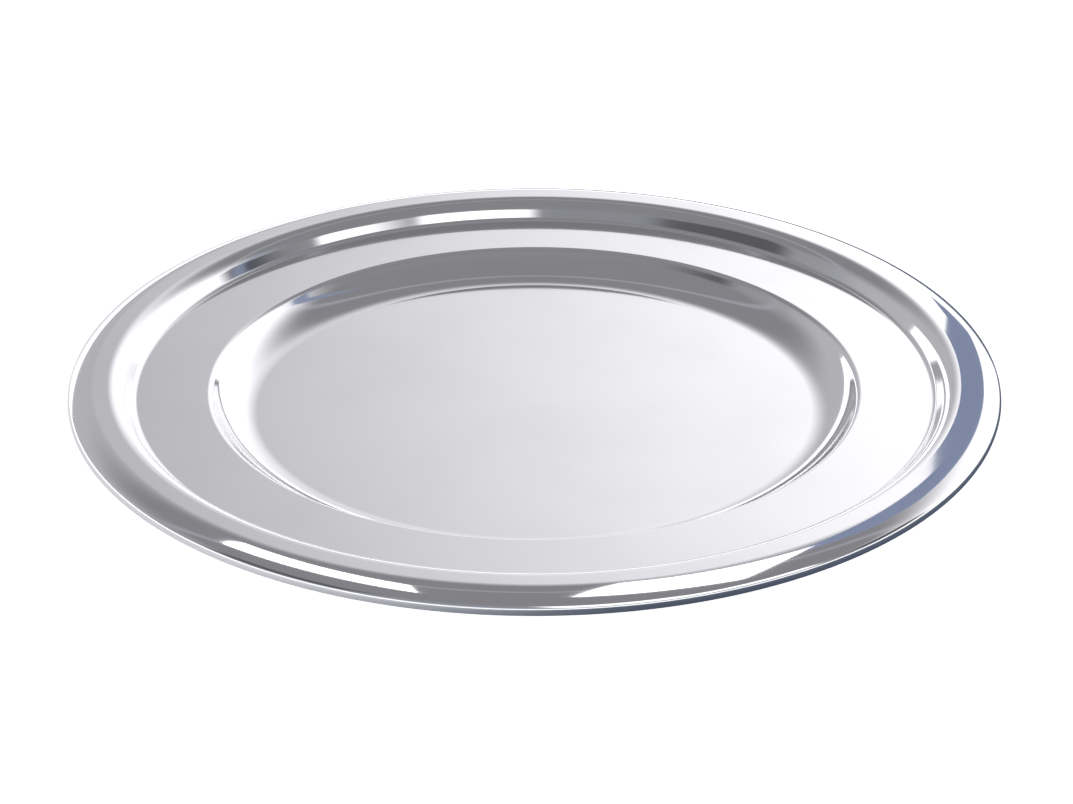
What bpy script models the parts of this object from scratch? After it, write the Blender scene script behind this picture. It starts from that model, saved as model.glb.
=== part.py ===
"""Round serving tray: one steel pressing, its outer edge curled round a wire ring.

Metres, +Z up. The origin is the centre of the underside, on the surface that the tray stands on.
The tray is a solid of revolution about Z. Its section is the middle line of the sheet, which starts
on the axis and runs outwards, with half the sheet's thickness laid off on either side.
"""

import math

import bpy
from mathutils import Vector

MM = 0.001

# Overall
OUTER_RADIUS = 175.0 * MM
SHEET = 0.8 * MM
SEGMENTS = 64

# Well. Corners are where the straight stretches of the section would meet if nothing were rounded.
WELL_DEPTH = 9.4 * MM
WELL_LIP_RADIUS = 122.2 * MM
WELL_WALL_SLOPE = math.radians(50)
WELL_FOOT_ROUND = 20.0 * MM
WELL_LIP_ROUND = 2.5 * MM

# Raised rim: a steep inner wall and a flat top. The round of its crest is wide.
RIM_HEIGHT = 7.4 * MM
RIM_FOOT_RADIUS = 150.9 * MM
RIM_WALL_SLOPE = math.radians(55)
RIM_FOOT_ROUND = 3.0 * MM
RIM_CREST_ROUND = 8.0 * MM

# Wide rounded crown, over which the flat top bends down into the curl
CROWN_RADIUS = 14.0 * MM

# Curled edge, open on its inner side, and the wire inside it. The tuck is how far the curl turns on
# past the outermost point of the tray.
CURL_RADIUS = 2.7 * MM
CURL_ABOVE_FLANGE = 2.8 * MM
CURL_TUCK = math.radians(195)
WIRE_GAP = 0.3 * MM
STRAIGHT_DOWN = math.radians(-90)

# How finely round stretches are divided
FINE_STEP = math.radians(12)
CURL_STEP = math.radians(25)
FEWEST_STEPS = 2
WIRE_SIDES = 12

# Levels of the middle of the sheet, and the centres of the curl and of the crown, which touch
FLOOR_LEVEL = SHEET / 2
FLANGE_LEVEL = FLOOR_LEVEL + WELL_DEPTH
RIM_LEVEL = FLANGE_LEVEL + RIM_HEIGHT
CURL_CENTRE = Vector((OUTER_RADIUS - CURL_RADIUS, FLANGE_LEVEL + CURL_ABOVE_FLANGE))
CURL_MIDDLE_RADIUS = CURL_RADIUS - SHEET / 2
CROWN_CENTRE_LEVEL = RIM_LEVEL - CROWN_RADIUS
CROWN_BENDS_AT = -math.acos((CURL_CENTRE.y - CROWN_CENTRE_LEVEL) / (CROWN_RADIUS - CURL_MIDDLE_RADIUS))


def clear_scene():
    for thing in list(bpy.data.objects):
        bpy.data.objects.remove(thing)


def steel(name, colour, roughness):
    material = bpy.data.materials.new(name)
    material.use_nodes = True
    shader = material.node_tree.nodes["Principled BSDF"]
    shader.inputs["Base Color"].default_value = (*colour, 1)
    shader.inputs["Metallic"].default_value = 1
    shader.inputs["Roughness"].default_value = roughness
    return material


def left_of(heading):
    """The unit vector a quarter turn to the left of a heading in the section's plane."""
    return Vector((-math.sin(heading), math.cos(heading)))


def heading_of(run):
    return math.atan2(run.y, run.x)


def arc(start, heading, turn, radius, step):
    """Stations (point, heading) of an arc that leaves start along heading; a positive turn is left."""
    reach = math.copysign(radius, turn)
    centre = start + left_of(heading) * reach
    count = max(FEWEST_STEPS, math.ceil(abs(turn) / step))
    headings = [heading + turn * i / count for i in range(count + 1)]
    return [(centre - left_of(h) * reach, h) for h in headings]


def rounded_corner(before, corner, after, radius):
    """Stations of the arc that rounds a corner of the section."""
    arriving = heading_of(corner - before)
    turn = heading_of(after - corner) - arriving
    setback = radius * math.tan(abs(turn) / 2)
    start = corner + (before - corner).normalized() * setback
    return arc(start, arriving, turn, radius, FINE_STEP)


def rounded_edge():
    """Stations from the start of the crown, where the sheet is level, to the end of the curl."""
    crown_centre = CURL_CENTRE - left_of(CROWN_BENDS_AT) * (CROWN_RADIUS - CURL_MIDDLE_RADIUS)
    crown_start = crown_centre + left_of(0.0) * CROWN_RADIUS
    stations = arc(crown_start, 0.0, CROWN_BENDS_AT, CROWN_RADIUS, FINE_STEP)
    for turn in (STRAIGHT_DOWN - CROWN_BENDS_AT, -CURL_TUCK):
        point, heading = stations.pop()
        stations += arc(point, heading, turn, CURL_MIDDLE_RADIUS, CURL_STEP)
    return stations


def sheet_stations():
    """The middle line of the sheet from the axis to the end of the curl, as (point, heading)."""
    axis = Vector((0, FLOOR_LEVEL))
    well_foot = Vector((WELL_LIP_RADIUS - WELL_DEPTH / math.tan(WELL_WALL_SLOPE), FLOOR_LEVEL))
    well_lip = Vector((WELL_LIP_RADIUS, FLANGE_LEVEL))
    rim_foot = Vector((RIM_FOOT_RADIUS, FLANGE_LEVEL))
    rim_crest = Vector((RIM_FOOT_RADIUS + RIM_HEIGHT / math.tan(RIM_WALL_SLOPE), RIM_LEVEL))
    edge = rounded_edge()
    crown_start = edge[0][0]

    line = [axis, well_foot, well_lip, rim_foot, rim_crest, crown_start]
    rounds = [WELL_FOOT_ROUND, WELL_LIP_ROUND, RIM_FOOT_ROUND, RIM_CREST_ROUND]
    stations = [(axis, 0.0)]
    for before, corner, after, radius in zip(line, line[1:], line[2:], rounds):
        stations += rounded_corner(before, corner, after, radius)
    return stations + edge


def sheet_outline():
    """The closed section: out along the upper face, round the sheet's edge, back along the lower face."""
    stations = sheet_stations()
    upper = [point + left_of(heading) * SHEET / 2 for point, heading in stations]
    lower = [point - left_of(heading) * SHEET / 2 for point, heading in stations]
    return upper + lower[::-1]


def turned(name, outline, material):
    """A solid turned from a section that starts and ends on the axis."""
    mesh = bpy.data.meshes.new(name)
    edges = [(i, i + 1) for i in range(len(outline) - 1)]
    mesh.from_pydata([(p.x, 0, p.y) for p in outline], edges, [])
    mesh.materials.append(material)
    turned_object = bpy.data.objects.new(name, mesh)
    bpy.context.scene.collection.objects.link(turned_object)

    screw = turned_object.modifiers.new("turn", "SCREW")
    screw.axis = "Z"
    screw.angle = math.tau
    screw.steps = SEGMENTS
    screw.render_steps = SEGMENTS
    screw.use_merge_vertices = True
    screw.merge_threshold = 0.00001
    screw.use_smooth_shade = True
    return turned_object


def make_tray_pressing():
    return turned("tray_pressing", sheet_outline(), steel("polished_steel", (0.78, 0.78, 0.80), 0.12))


def make_rim_wire():
    bpy.ops.mesh.primitive_torus_add(
        location=(0, 0, CURL_CENTRE.y),
        major_radius=CURL_CENTRE.x,
        minor_radius=CURL_RADIUS - SHEET - WIRE_GAP,
        major_segments=SEGMENTS,
        minor_segments=WIRE_SIDES,
    )
    wire = bpy.context.object
    wire.name = "rim_wire"
    wire.data.name = "rim_wire"
    wire.data.shade_smooth()
    wire.data.materials.append(steel("drawn_wire", (0.55, 0.55, 0.56), 0.35))
    return wire


def main():
    clear_scene()
    make_tray_pressing()
    make_rim_wire()


main()
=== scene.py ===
"""Looks of the round steel serving tray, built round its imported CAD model. Metres, +Z up."""

import math

import bpy
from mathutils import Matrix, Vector


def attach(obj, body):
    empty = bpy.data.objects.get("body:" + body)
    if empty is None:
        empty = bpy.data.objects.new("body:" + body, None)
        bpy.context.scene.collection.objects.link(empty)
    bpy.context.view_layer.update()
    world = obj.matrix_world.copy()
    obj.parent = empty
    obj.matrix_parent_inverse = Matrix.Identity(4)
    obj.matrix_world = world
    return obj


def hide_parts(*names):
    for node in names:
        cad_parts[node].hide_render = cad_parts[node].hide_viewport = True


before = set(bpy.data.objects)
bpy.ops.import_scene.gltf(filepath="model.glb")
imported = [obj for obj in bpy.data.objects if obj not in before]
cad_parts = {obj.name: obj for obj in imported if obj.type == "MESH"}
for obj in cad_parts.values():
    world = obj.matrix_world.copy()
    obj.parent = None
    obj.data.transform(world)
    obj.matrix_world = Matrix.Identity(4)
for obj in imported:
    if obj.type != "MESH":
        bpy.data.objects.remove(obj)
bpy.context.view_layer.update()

MM = 0.001

# Section of the tray, as in the CAD
OUTER_RADIUS = 175.0 * MM
SHEET = 0.8 * MM
WELL_DEPTH = 9.4 * MM
WELL_LIP_RADIUS = 122.2 * MM
WELL_WALL_SLOPE = math.radians(50)
WELL_FOOT_ROUND = 20.0 * MM
WELL_LIP_ROUND = 2.5 * MM
RIM_HEIGHT = 7.4 * MM
RIM_FOOT_RADIUS = 150.9 * MM
RIM_WALL_SLOPE = math.radians(55)
RIM_FOOT_ROUND = 3.0 * MM
RIM_CREST_ROUND = 8.0 * MM
CROWN_RADIUS = 14.0 * MM
CURL_RADIUS = 2.7 * MM
CURL_ABOVE_FLANGE = 2.8 * MM
CURL_TUCK = math.radians(195)
WIRE_GAP = 0.3 * MM
STRAIGHT_DOWN = math.radians(-90)

FLOOR_LEVEL = SHEET / 2
FLANGE_LEVEL = FLOOR_LEVEL + WELL_DEPTH
FLANGE_TOP = FLANGE_LEVEL + SHEET / 2
RIM_LEVEL = FLANGE_LEVEL + RIM_HEIGHT
CURL_CENTRE = Vector((OUTER_RADIUS - CURL_RADIUS, FLANGE_LEVEL + CURL_ABOVE_FLANGE))
CURL_MIDDLE_RADIUS = CURL_RADIUS - SHEET / 2
CROWN_CENTRE_LEVEL = RIM_LEVEL - CROWN_RADIUS
CROWN_BENDS_AT = -math.acos((CURL_CENTRE.y - CROWN_CENTRE_LEVEL) / (CROWN_RADIUS - CURL_MIDDLE_RADIUS))

# How finely the visible surfaces are divided
SEGMENTS = 256
FINE_STEP = math.radians(4)
CURL_STEP = math.radians(7.5)
FEWEST_STEPS = 2
LONGEST_STRAIGHT = 8.0 * MM
WIRE_SIDES = 24

# Camera: where it stands from the middle of the flange's plane, and the point it looks at
LENS = 100.0
SENSOR = 36.0
CAMERA_DISTANCE = 1.12875
CAMERA_ELEVATION = math.radians(26.5)
LOOK_AT = Vector((0.00075, -0.0191, FLANGE_TOP))

# Stage: a floor that turns up into a low wall, and glows so that shadows nearly vanish
STAGE_RADIUS = 8.0
COVE_RADIUS = 1.5
COVE_STEPS = 16
STAGE_SIDES = 96
STAGE_COLOUR = (0.90, 0.90, 0.905)
STAGE_COLOUR_DULL = (0.88, 0.88, 0.885)
STAGE_GLOW = 0.85
OVERHEAD_HEIGHT = 3.0
OVERHEAD_SIZE = 4.0
OVERHEAD_POWER = 22.0

# Cards that only the steel's reflections can see
LAMP_LEVEL = 0.165
LAMP_GLOW = 1.3
LAMP_RIGHT = [(0.022, -0.155), (0.140, -0.150), (0.142, -0.005), (0.040, -0.005)]
LAMP_LEFT = [(-0.072, -0.160), (-0.066, -0.098), (-0.150, -0.010), (-0.200, -0.070)]
LAMP_COLOUR = (1.0, 1.0, 1.0)
SCREEN_BACK = 0.15
SCREEN = [(0.178, 0.045), (0.212, 0.045), (0.228, 0.09), (0.34, 0.30), (0.34, 0.42), (0.17, 0.42)]
SCREEN_COLOUR = (0.16, 0.19, 0.28)
SCREEN_GLOW = 0.6
# Ring on the floor round the tray: a painted shadow, dark and glowing, that only the steel mirrors; it
# turns pale towards -X
CARD_INNER = 0.160
CARD_OUTER = 1.2
CARD_LEVEL = 0.0006
CARD_STEPS = 60
SHADOW_CARD_COLOUR = (0.07, 0.09, 0.13)
SHADOW_CARD_COLOUR_LEFT = (0.62, 0.62, 0.64)
SHADOW_CARD_FADE = (-0.14, 0.05)

# World: its base colour and strength, and the lights and dark screens laid over it as
# azimuth, elevation, width, height, level, edge, tint
SKY_GREY = (0.225, 0.222, 0.238, 1.0)
SKY_STRENGTH = 1.25
STUDIO = [
    (180, 25, 150, 50, 0.27, 30, (0.94, 0.97, 1.06)),
    (180, 12, 130, 16, 0.50, 12, (0.86, 0.97, 1.10)),
    (-82, 26, 46, 30, 0.30, 14, (0.98, 0.98, 1.04)),
    (-116, 35, 34, 22, 0.10, 8, (0.96, 0.97, 1.06)),
    (0, 13, 150, 44, 0.44, 20, (0.985, 0.975, 1.03)),
    (0, 66, 140, 3, 0.36, 3, (0.95, 0.96, 1.06)),
    (42, 20, 76, 34, 1.18, 24, (1.0, 0.99, 1.02)),
    (87, 24, 20, 16, 0.08, 6, (0.94, 0.97, 1.10)),
    (130, 32, 36, 20, 1.3, 4, (1.0, 1.0, 1.0)),
    (160, 36, 28, 26, 1.3, 4, (1.0, 1.0, 1.0)),
]


# ---- Shape ------------------------------------------------------------------


def left_of(heading):
    return Vector((-math.sin(heading), math.cos(heading)))


def heading_of(run):
    return math.atan2(run.y, run.x)


def arc(start, heading, turn, radius, step):
    """Stations (point, heading) of an arc that leaves start along heading; a positive turn is left."""
    reach = math.copysign(radius, turn)
    centre = start + left_of(heading) * reach
    count = max(FEWEST_STEPS, math.ceil(abs(turn) / step))
    headings = [heading + turn * i / count for i in range(count + 1)]
    return [(centre - left_of(h) * reach, h) for h in headings]


def rounded_corner(before, corner, after, radius):
    arriving = heading_of(corner - before)
    turn = heading_of(after - corner) - arriving
    setback = radius * math.tan(abs(turn) / 2)
    start = corner + (before - corner).normalized() * setback
    return arc(start, arriving, turn, radius, FINE_STEP)


def rounded_edge():
    """Stations from the start of the crown, where the sheet is level, to the end of the curl."""
    crown_centre = CURL_CENTRE - left_of(CROWN_BENDS_AT) * (CROWN_RADIUS - CURL_MIDDLE_RADIUS)
    crown_start = crown_centre + left_of(0.0) * CROWN_RADIUS
    stations = arc(crown_start, 0.0, CROWN_BENDS_AT, CROWN_RADIUS, FINE_STEP)
    for turn in (STRAIGHT_DOWN - CROWN_BENDS_AT, -CURL_TUCK):
        point, heading = stations.pop()
        stations += arc(point, heading, turn, CURL_MIDDLE_RADIUS, CURL_STEP)
    return stations


def divided(stations):
    """The same stations with more along any straight stretch that is long."""
    out = [stations[0]]
    for (start, _), (end, heading) in zip(stations, stations[1:]):
        count = max(1, math.ceil((end - start).length / LONGEST_STRAIGHT))
        out += [(start.lerp(end, i / count), heading) for i in range(1, count + 1)]
    return out


def sheet_stations():
    """The middle line of the sheet from the axis to the end of the curl, as (point, heading)."""
    axis = Vector((0, FLOOR_LEVEL))
    well_foot = Vector((WELL_LIP_RADIUS - WELL_DEPTH / math.tan(WELL_WALL_SLOPE), FLOOR_LEVEL))
    well_lip = Vector((WELL_LIP_RADIUS, FLANGE_LEVEL))
    rim_foot = Vector((RIM_FOOT_RADIUS, FLANGE_LEVEL))
    rim_crest = Vector((RIM_FOOT_RADIUS + RIM_HEIGHT / math.tan(RIM_WALL_SLOPE), RIM_LEVEL))
    edge = rounded_edge()
    crown_start = edge[0][0]

    line = [axis, well_foot, well_lip, rim_foot, rim_crest, crown_start]
    rounds = [WELL_FOOT_ROUND, WELL_LIP_ROUND, RIM_FOOT_ROUND, RIM_CREST_ROUND]
    stations = [(axis, 0.0)]
    for before, corner, after, radius in zip(line, line[1:], line[2:], rounds):
        stations += rounded_corner(before, corner, after, radius)
    return divided(stations + edge)


def turned_mesh(name, outline, slopes):
    """A solid turned about Z from a section whose first and last points lie on the axis. slopes holds
    the section's outward unit normal at each point, so that the shading is that of the true curve."""
    mesh = bpy.data.meshes.new(name)
    around = [math.tau * i / SEGMENTS for i in range(SEGMENTS)]
    verts = [(0, 0, outline[0].y)]
    normals = [(0, 0, slopes[0].y)]
    for point, slope in zip(outline[1:-1], slopes[1:-1]):
        for a in around:
            verts.append((point.x * math.cos(a), point.x * math.sin(a), point.y))
            normals.append((slope.x * math.cos(a), slope.x * math.sin(a), slope.y))
    verts.append((0, 0, outline[-1].y))
    normals.append((0, 0, slopes[-1].y))

    rings = len(outline) - 2
    last = len(verts) - 1
    faces = []
    for i in range(SEGMENTS):
        j = (i + 1) % SEGMENTS
        faces.append((0, 1 + i, 1 + j))
        for ring in range(rings - 1):
            inner = 1 + ring * SEGMENTS
            outer = inner + SEGMENTS
            faces.append((inner + i, outer + i, outer + j, inner + j))
        inner = 1 + (rings - 1) * SEGMENTS
        faces.append((inner + i, last, inner + j))
    mesh.from_pydata(verts, [], faces)
    mesh.shade_smooth()
    mesh.normals_split_custom_set_from_vertices(normals)
    return mesh


def tray_pressing():
    stations = sheet_stations()
    upper = [(p + left_of(h) * SHEET / 2, left_of(h)) for p, h in stations]
    lower = [(p - left_of(h) * SHEET / 2, -left_of(h)) for p, h in stations]
    loop = upper + lower[::-1]
    mesh = turned_mesh("tray_steel", [p for p, _ in loop], [n for _, n in loop])
    return bpy.data.objects.new("tray_steel", mesh)


def rim_wire():
    bpy.ops.mesh.primitive_torus_add(
        location=(0, 0, CURL_CENTRE.y),
        major_radius=CURL_CENTRE.x,
        minor_radius=CURL_RADIUS - SHEET - WIRE_GAP,
        major_segments=SEGMENTS,
        minor_segments=WIRE_SIDES,
    )
    wire = bpy.context.object
    wire.name = "wire_steel"
    wire.data.shade_smooth()
    return wire


# ---- Materials --------------------------------------------------------------


class Nodes:
    """Short calls for adding nodes to one tree. An input is a socket, or the value to give it."""

    def __init__(self, tree):
        self.tree = tree

    def add(self, kind, inputs=(), out=0, **settings):
        node = self.tree.nodes.new(kind)
        for key, value in settings.items():
            setattr(node, key, value)
        for key, value in dict(inputs).items():
            if isinstance(value, bpy.types.NodeSocket):
                self.tree.links.new(value, node.inputs[key])
            else:
                node.inputs[key].default_value = value
        return node.outputs[out]

    def math(self, operation, *values):
        return self.add("ShaderNodeMath", enumerate(values), operation=operation)

    def dot(self, vector, fixed):
        return self.add("ShaderNodeVectorMath", {0: vector, 1: fixed}, out=1, operation="DOT_PRODUCT")

    def scaled(self, value, low, high, to_low, to_high, kind="LINEAR"):
        inputs = {0: value, 1: low, 2: high, 3: to_low, 4: to_high}
        return self.add("ShaderNodeMapRange", inputs, interpolation_type=kind)

    def mix(self, factor, a, b):
        return self.add("ShaderNodeMix", {0: factor, 6: a, 7: b}, out=2, data_type="RGBA")

    def noise(self, vector, scale, detail=2.0, roughness=0.5):
        inputs = {"Vector": vector, "Scale": scale, "Detail": detail, "Roughness": roughness}
        return self.add("ShaderNodeTexNoise", inputs)

    def combine(self, x, y, z):
        return self.add("ShaderNodeCombineXYZ", {0: x, 1: y, 2: z})

    def position(self):
        return self.add("ShaderNodeTexCoord", out="Object")

    def parts(self, vector):
        """x, y and z of a vector, and its distance from the Z axis."""
        split = self.tree.nodes.new("ShaderNodeSeparateXYZ")
        self.tree.links.new(vector, split.inputs[0])
        x, y, z = split.outputs
        squares = self.math("ADD", self.math("MULTIPLY", x, x), self.math("MULTIPLY", y, y))
        return x, y, z, self.math("SQRT", squares)


def new_material(name):
    material = bpy.data.materials.new(name)
    material.use_nodes = True
    return material, Nodes(material.node_tree), material.node_tree.nodes["Principled BSDF"]


def polished_steel():
    """Buffed stainless steel: a slightly satin mirror, with fine polishing lines that run round the
    tray, a fine grain, and faint cloudy patches where the polish is a little duller."""
    material, n, shader = new_material("polished_steel_fine")
    here = n.position()
    x, y, z, radius = n.parts(here)
    out_x = n.math("DIVIDE", x, n.math("MAXIMUM", radius, 0.001))
    out_y = n.math("DIVIDE", y, n.math("MAXIMUM", radius, 0.001))
    across = n.math("ADD", radius, z)
    round_lines = n.combine(n.math("MULTIPLY", out_x, 0.02), n.math("MULTIPLY", out_y, 0.02), across)

    polish = n.noise(round_lines, 2600.0, 3.0, 0.6)
    clouds = n.noise(here, 17.0, 3.0, 0.55)
    grain = n.noise(here, 2400.0, 2.0, 0.6)

    dull = n.scaled(clouds, 0.35, 0.75, 0.0, 1.0, "SMOOTHSTEP")
    rough = n.math("ADD", n.scaled(dull, 0.0, 1.0, 0.070, 0.100), n.scaled(polish, 0.3, 0.7, -0.012, 0.012))
    n.tree.links.new(rough, shader.inputs["Roughness"])

    tone = n.mix(dull, (0.800, 0.800, 0.805, 1.0), (0.770, 0.772, 0.782, 1.0))
    n.tree.links.new(tone, shader.inputs["Base Color"])

    height = n.math("ADD", n.math("MULTIPLY", polish, 0.6), n.math("MULTIPLY", grain, 0.4))
    bump = n.add("ShaderNodeBump", {"Strength": 0.10, "Distance": 0.00002, "Height": height})
    n.tree.links.new(bump, shader.inputs["Normal"])
    shader.inputs["Metallic"].default_value = 1.0
    return material


def drawn_wire():
    """Plain drawn steel wire: duller than the tray, with drawing lines along it."""
    material, n, shader = new_material("drawn_wire_fine")
    here = n.position()
    x, y, z, radius = n.parts(here)
    along = n.math("ARCTAN2", y, x)
    lines = n.noise(n.combine(radius, z, n.math("MULTIPLY", along, 0.01)), 3000.0, 3.0, 0.6)
    stains = n.noise(here, 60.0, 3.0, 0.5)
    n.tree.links.new(n.scaled(lines, 0.3, 0.7, 0.26, 0.42), shader.inputs["Roughness"])
    tone = n.mix(n.scaled(stains, 0.4, 0.7, 0.0, 1.0), (0.55, 0.55, 0.56, 1.0), (0.47, 0.46, 0.45, 1.0))
    n.tree.links.new(tone, shader.inputs["Base Color"])
    bump = n.add("ShaderNodeBump", {"Strength": 0.3, "Distance": 0.00005, "Height": lines})
    n.tree.links.new(bump, shader.inputs["Normal"])
    shader.inputs["Metallic"].default_value = 1.0
    return material


# ---- Studio -----------------------------------------------------------------


def stage():
    """A pale floor that turns up into a low wall all round, far from the tray."""
    material, n, shader = new_material("stage_paper")
    here = n.position()
    tone = n.mix(n.noise(here, 0.4, 1.0), (*STAGE_COLOUR, 1.0), (*STAGE_COLOUR_DULL, 1.0))
    n.tree.links.new(tone, shader.inputs["Base Color"])
    n.tree.links.new(tone, shader.inputs["Emission Color"])
    shader.inputs["Emission Strength"].default_value = STAGE_GLOW
    shader.inputs["Roughness"].default_value = 0.9
    shader.inputs["Specular IOR Level"].default_value = 0.1

    wall_foot = STAGE_RADIUS - COVE_RADIUS
    section = [(wall_foot, 0.0)]
    for i in range(1, COVE_STEPS + 1):
        a = math.radians(90) * i / COVE_STEPS
        section.append((wall_foot + COVE_RADIUS * math.sin(a), COVE_RADIUS * (1 - math.cos(a))))
    around = [math.tau * i / STAGE_SIDES for i in range(STAGE_SIDES)]
    verts = [(0, 0, 0)]
    for r, z in section:
        verts += [(r * math.cos(a), r * math.sin(a), z) for a in around]
    faces = []
    for i in range(STAGE_SIDES):
        j = (i + 1) % STAGE_SIDES
        faces.append((0, 1 + i, 1 + j))
        for ring in range(len(section) - 1):
            inner = 1 + ring * STAGE_SIDES
            outer = inner + STAGE_SIDES
            faces.append((inner + i, outer + i, outer + j, inner + j))
    mesh = bpy.data.meshes.new("stage")
    mesh.from_pydata(verts, [], faces)
    mesh.shade_smooth()
    mesh.materials.append(material)
    floor = bpy.data.objects.new("stage", mesh)
    bpy.context.scene.collection.objects.link(floor)


def reflected_card(name, corners, colour, glow, colour_left=None):
    """A card that only the mirror of the steel can see: a lamp if it glows, otherwise a screen. With
    colour_left, it changes softly to that colour towards -X."""
    material, n, shader = new_material(name)
    here = n.position()
    tone = n.mix(n.noise(here, 3.0), (*colour, 1.0), (*(0.9 * c for c in colour), 1.0))
    # Painted shade on the floor ring: it turns from dark to pale towards -X
    if colour_left:
        to_right = n.scaled(n.dot(here, (1, 0, 0)), *SHADOW_CARD_FADE, 0.0, 1.0, "SMOOTHSTEP")
        tone = n.mix(to_right, (*colour_left, 1.0), tone)
    n.tree.links.new(tone, shader.inputs["Base Color"])
    n.tree.links.new(tone, shader.inputs["Emission Color"])
    shader.inputs["Emission Strength"].default_value = glow
    shader.inputs["Roughness"].default_value = 0.9
    mesh = bpy.data.meshes.new(name)
    mesh.from_pydata(corners, [], [tuple(range(len(corners)))])
    mesh.materials.append(material)
    card = bpy.data.objects.new(name, mesh)
    bpy.context.scene.collection.objects.link(card)
    card.visible_camera = False
    card.visible_diffuse = False
    card.visible_shadow = False


def around_tray(start, end, inner, outer, level):
    """Corners of a flat ring sector about Z, between two azimuths in degrees."""
    angles = [math.radians(start + (end - start) * i / CARD_STEPS) for i in range(CARD_STEPS + 1)]
    inside = [(inner * math.sin(a), inner * math.cos(a), level) for a in angles]
    outside = [(outer * math.sin(a), outer * math.cos(a), level) for a in angles]
    return inside + outside[::-1]


def cards():
    """Two lamps over the front edge, a screen behind the right, and a dark glowing ring on the floor, which
    is a painted shadow round the tray that only the steel mirrors.
    """
    for name, outline in (("lamp_right", LAMP_RIGHT), ("lamp_left", LAMP_LEFT)):
        reflected_card(name, [(x, y, LAMP_LEVEL) for x, y in outline], LAMP_COLOUR, LAMP_GLOW)
    reflected_card("screen_right", [(x, SCREEN_BACK, z) for x, z in SCREEN], SCREEN_COLOUR, SCREEN_GLOW)
    # Painted shadow round the tray: a dark glowing ring on the floor that only the steel mirrors
    for name, start in (("painted_shadow_floor_right", 0), ("painted_shadow_floor_left", 180)):
        half_ring = around_tray(start, start + 180, CARD_INNER, CARD_OUTER, CARD_LEVEL)
        reflected_card(name, half_ring, SHADOW_CARD_COLOUR, SCREEN_GLOW, SHADOW_CARD_COLOUR_LEFT)


def direction(azimuth, elevation):
    """Unit vector towards azimuth (0 is +Y, 90 is +X) and elevation, in degrees."""
    a, e = math.radians(azimuth), math.radians(elevation)
    return Vector((math.sin(a) * math.cos(e), math.cos(a) * math.cos(e), math.sin(e)))


def soft_box(n, sky, base, azimuth, elevation, width, height, level, edge, tint):
    """base with a soft-edged rectangle of light or shade laid over it. All sizes are in degrees."""
    ahead = direction(azimuth, elevation)
    right = direction(azimuth + 90, 0)
    up = right.cross(ahead)
    f, r, u = (n.dot(sky, tuple(v)) for v in (ahead, right, up))
    side = n.math("ABSOLUTE", n.math("ARCTAN2", r, f))
    rise = n.math("ABSOLUTE", n.math("ARCSINE", n.math("MINIMUM", n.math("MAXIMUM", u, -1.0), 1.0)))
    masks = []
    spread = math.radians(edge) / 2
    for angle, size in ((side, width), (rise, height)):
        half = math.radians(size) / 2
        masks.append(n.scaled(angle, half + spread, half - spread, 0.0, 1.0, "SMOOTHSTEP"))
    mask = n.math("MULTIPLY", *masks)
    return n.mix(mask, base, (*(level * c for c in tint), 1.0))


def studio():
    """The surroundings that the steel mirrors: grey walls, large soft lights and dark screens."""
    world = bpy.data.worlds.new("studio")
    world.use_nodes = True
    n = Nodes(world.node_tree)
    sky = n.add("ShaderNodeTexCoord", out="Generated")
    back = world.node_tree.nodes["Background"]

    light = n.mix(1.0, SKY_GREY, SKY_GREY)
    for box in STUDIO:
        light = soft_box(n, sky, light, *box)
    world.node_tree.links.new(light, back.inputs["Color"])
    back.inputs["Strength"].default_value = SKY_STRENGTH
    bpy.context.scene.world = world


def floor_light():
    """A wide lamp overhead that lights the floor. The steel does not mirror it."""
    data = bpy.data.lights.new("floor_light", "AREA")
    data.shape = "DISK"
    data.size = OVERHEAD_SIZE
    data.energy = OVERHEAD_POWER
    lamp = bpy.data.objects.new("floor_light", data)
    bpy.context.scene.collection.objects.link(lamp)
    towards = direction(0, 90)
    lamp.location = towards * OVERHEAD_HEIGHT
    lamp.rotation_euler = towards.to_track_quat("Z", "Y").to_euler()
    lamp.visible_camera = False
    lamp.visible_glossy = False


def camera():
    data = bpy.data.cameras.new("camera")
    data.lens = LENS
    data.sensor_width = SENSOR
    data.clip_start = 0.01
    data.clip_end = 50.0
    holder = bpy.data.objects.new("camera", data)
    bpy.context.scene.collection.objects.link(holder)
    back = Vector((0, -math.cos(CAMERA_ELEVATION), math.sin(CAMERA_ELEVATION)))
    holder.location = Vector((0, 0, FLANGE_TOP)) + back * CAMERA_DISTANCE
    holder.rotation_euler = (LOOK_AT - holder.location).to_track_quat("-Z", "Y").to_euler()
    bpy.context.scene.camera = holder


def main():
    camera()
    stage()
    cards()
    studio()
    floor_light()

    tray = tray_pressing()
    bpy.context.scene.collection.objects.link(tray)
    tray.data.materials.append(polished_steel())
    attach(tray, "root")
    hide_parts("tray_pressing")

    wire = rim_wire()
    wire.data.materials.append(drawn_wire())
    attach(wire, "root")
    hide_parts("rim_wire")

    bpy.context.scene.view_settings.view_transform = "Standard"


main()
